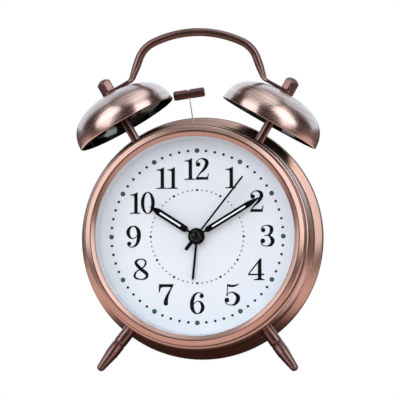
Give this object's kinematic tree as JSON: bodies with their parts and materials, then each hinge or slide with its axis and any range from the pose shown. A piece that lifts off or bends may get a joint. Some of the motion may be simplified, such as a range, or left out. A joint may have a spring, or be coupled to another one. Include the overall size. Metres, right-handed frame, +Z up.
{
  "type": "twin-bell alarm clock",
  "caption": "Battery alarm clock: round copper drum on two legs, white dial under glass, two bells with a hammer between them, arched carrying handle.",
  "frame": {"origin": "on the table, below the middle of the clock's bounding box, with the clock leaning back on its two front legs and the bottom of its back cover", "axes": "+Z up, -Y the way the dial faces, +X to the right as seen from the front"},
  "size_m": [0.12, 0.0654, 0.1639],
  "materials": {
    "copper_plate": "satin copper-plated steel, clear lacquered",
    "brushed_copper": "antique copper plate, brushed in rings, glossy dark inside",
    "brown_copper": "dark antique copper plate, satin",
    "bright_steel": "bright zinc-plated steel",
    "brass": "machined brass",
    "lens_glass": "clear polished mineral glass",
    "white_plastic": "satin white moulding",
    "dial_print": "matt white dial with printed black and green marks",
    "black_plastic": "fine-textured black moulding",
    "black_enamel": "satin black paint on stamped aluminium",
    "green_board": "green printed board",
    "coil_copper": "enamelled copper winding",
    "cell_label": "plain wrapped cell with bright ends"
  },
  "bodies": {
    "case": {"case_drum": "copper_plate", "bezel_ring": "copper_plate", "glass_lens": "lens_glass", "dial_ring": "white_plastic", "dial_plate": "dial_print", "inner_frame": "white_plastic", "bell_left": "brushed_copper", "bell_right": "brushed_copper", "bell_post_left": "brown_copper", "bell_post_right": "brown_copper", "post_nuts": "bright_steel", "cap_nut_left": "brown_copper", "cap_nut_right": "brown_copper", "handle": "brown_copper", "leg_left": "brown_copper", "leg_right": "brown_copper", "leg_nuts": "bright_steel", "hammer_pivot": "bright_steel", "striker_bracket": "black_plastic", "striker_motor": "bright_steel", "movement_front": "black_plastic", "movement_back": "black_plastic", "movement_screws": "bright_steel", "circuit_board": "green_board", "quartz_crystal": "bright_steel", "stepper_coil": "coil_copper", "stator": "bright_steel", "back_cover": "black_plastic", "cover_screws": "bright_steel", "battery_cell_upper": "cell_label", "battery_cell_lower": "cell_label", "battery_contacts": "bright_steel"},
    "hour_hand": {"hour_hand": "black_enamel", "hour_wheel": "brass"},
    "minute_hand": {"minute_hand": "black_enamel", "cannon_pinion": "brass"},
    "second_hand": {"second_hand": "black_enamel", "hand_cap": "black_enamel", "second_wheel": "brass"},
    "alarm_hand": {"alarm_hand": "black_enamel", "alarm_wheel": "brass"},
    "minute_wheel": {"minute_wheel": "brass"},
    "third_wheel": {"third_wheel": "brass"},
    "centre_wheel": {"centre_wheel": "brass"},
    "intermediate_wheel": {"intermediate_wheel": "brass"},
    "rotor": {"rotor": "bright_steel"},
    "time_knob": {"time_knob": "black_plastic", "time_arbor": "bright_steel"},
    "alarm_knob": {"alarm_knob": "black_plastic", "alarm_arbor": "bright_steel"},
    "hammer": {"hammer_head": "brown_copper", "hammer_wire": "bright_steel", "hammer_arm": "bright_steel"},
    "striker_cam": {"striker_cam": "brass"},
    "battery_door": {"battery_door": "black_plastic"},
    "alarm_switch": {"alarm_switch": "black_plastic"}
  },
  "joints": [
    {"name": "minute_hand_turn", "type": "hinge", "parent": "case", "child": "minute_hand", "pos_m": [0, -0.00177, 0.06306], "axis": [0, 0.9895, -0.1443], "continuous": true},
    {"name": "hour_hand_turn", "type": "hinge", "parent": "case", "child": "hour_hand", "pos_m": [0, -0.00177, 0.06306], "axis": [0, 0.9895, -0.1443], "continuous": true},
    {"name": "minute_wheel_turn", "type": "hinge", "parent": "case", "child": "minute_wheel", "pos_m": [-0.00866, -0.00105, 0.068], "axis": [0, 0.9895, -0.1443], "continuous": true},
    {"name": "time_knob_turn", "type": "hinge", "parent": "case", "child": "time_knob", "pos_m": [-0.01732, -0.00032, 0.07295], "axis": [0, 0.9895, -0.1443], "continuous": true},
    {"name": "second_hand_turn", "type": "hinge", "parent": "case", "child": "second_hand", "pos_m": [0, -0.00177, 0.06306], "axis": [0, 0.9895, -0.1443], "continuous": true},
    {"name": "third_wheel_turn", "type": "hinge", "parent": "case", "child": "third_wheel", "pos_m": [0, -0.0031, 0.05395], "axis": [0, 0.9895, -0.1443], "continuous": true},
    {"name": "centre_wheel_turn", "type": "hinge", "parent": "case", "child": "centre_wheel", "pos_m": [0, -0.00177, 0.06306], "axis": [0, 0.9895, -0.1443], "continuous": true},
    {"name": "intermediate_wheel_turn", "type": "hinge", "parent": "case", "child": "intermediate_wheel", "pos_m": [0, -0.00046, 0.07206], "axis": [0, 0.9895, -0.1443], "continuous": true},
    {"name": "rotor_turn", "type": "hinge", "parent": "case", "child": "rotor", "pos_m": [0, 0.00045, 0.07824], "axis": [0, 0.9895, -0.1443], "continuous": true},
    {"name": "alarm_hand_turn", "type": "hinge", "parent": "case", "child": "alarm_hand", "pos_m": [0, -0.00177, 0.06306], "axis": [0, 0.9895, -0.1443], "continuous": true},
    {"name": "alarm_knob_turn", "type": "hinge", "parent": "case", "child": "alarm_knob", "pos_m": [0.00866, -0.00105, 0.068], "axis": [0, 0.9895, -0.1443], "continuous": true},
    {"name": "hammer_swing", "type": "hinge", "parent": "case", "child": "hammer", "pos_m": [0, 0.00307, 0.10318], "axis": [0, 0.9895, -0.1443], "range_deg": [0, 16.6]},
    {"name": "striker_cam_turn", "type": "hinge", "parent": "case", "child": "striker_cam", "pos_m": [0, 0.00468, 0.09344], "axis": [0, 0.9895, -0.1443], "continuous": true},
    {"name": "battery_door_slide", "type": "slide", "parent": "case", "child": "battery_door", "axis": [0, 0.1443, 0.9895], "range_m": [0, 0.006]},
    {"name": "alarm_switch_slide", "type": "slide", "parent": "case", "child": "alarm_switch", "axis": [1, 0, 0], "range_m": [0, 0.004]}
  ],
  "couplings": [
    {"joint": "hour_hand_turn", "follows": "minute_hand_turn", "ratio": 0.083333},
    {"joint": "minute_wheel_turn", "follows": "minute_hand_turn", "ratio": -0.33333},
    {"joint": "time_knob_turn", "follows": "minute_hand_turn", "ratio": 1},
    {"joint": "third_wheel_turn", "follows": "second_hand_turn", "ratio": -0.125},
    {"joint": "centre_wheel_turn", "follows": "second_hand_turn", "ratio": 0.016667},
    {"joint": "intermediate_wheel_turn", "follows": "second_hand_turn", "ratio": -6},
    {"joint": "rotor_turn", "follows": "second_hand_turn", "ratio": 30},
    {"joint": "alarm_knob_turn", "follows": "alarm_hand_turn", "ratio": -4}
  ]
}
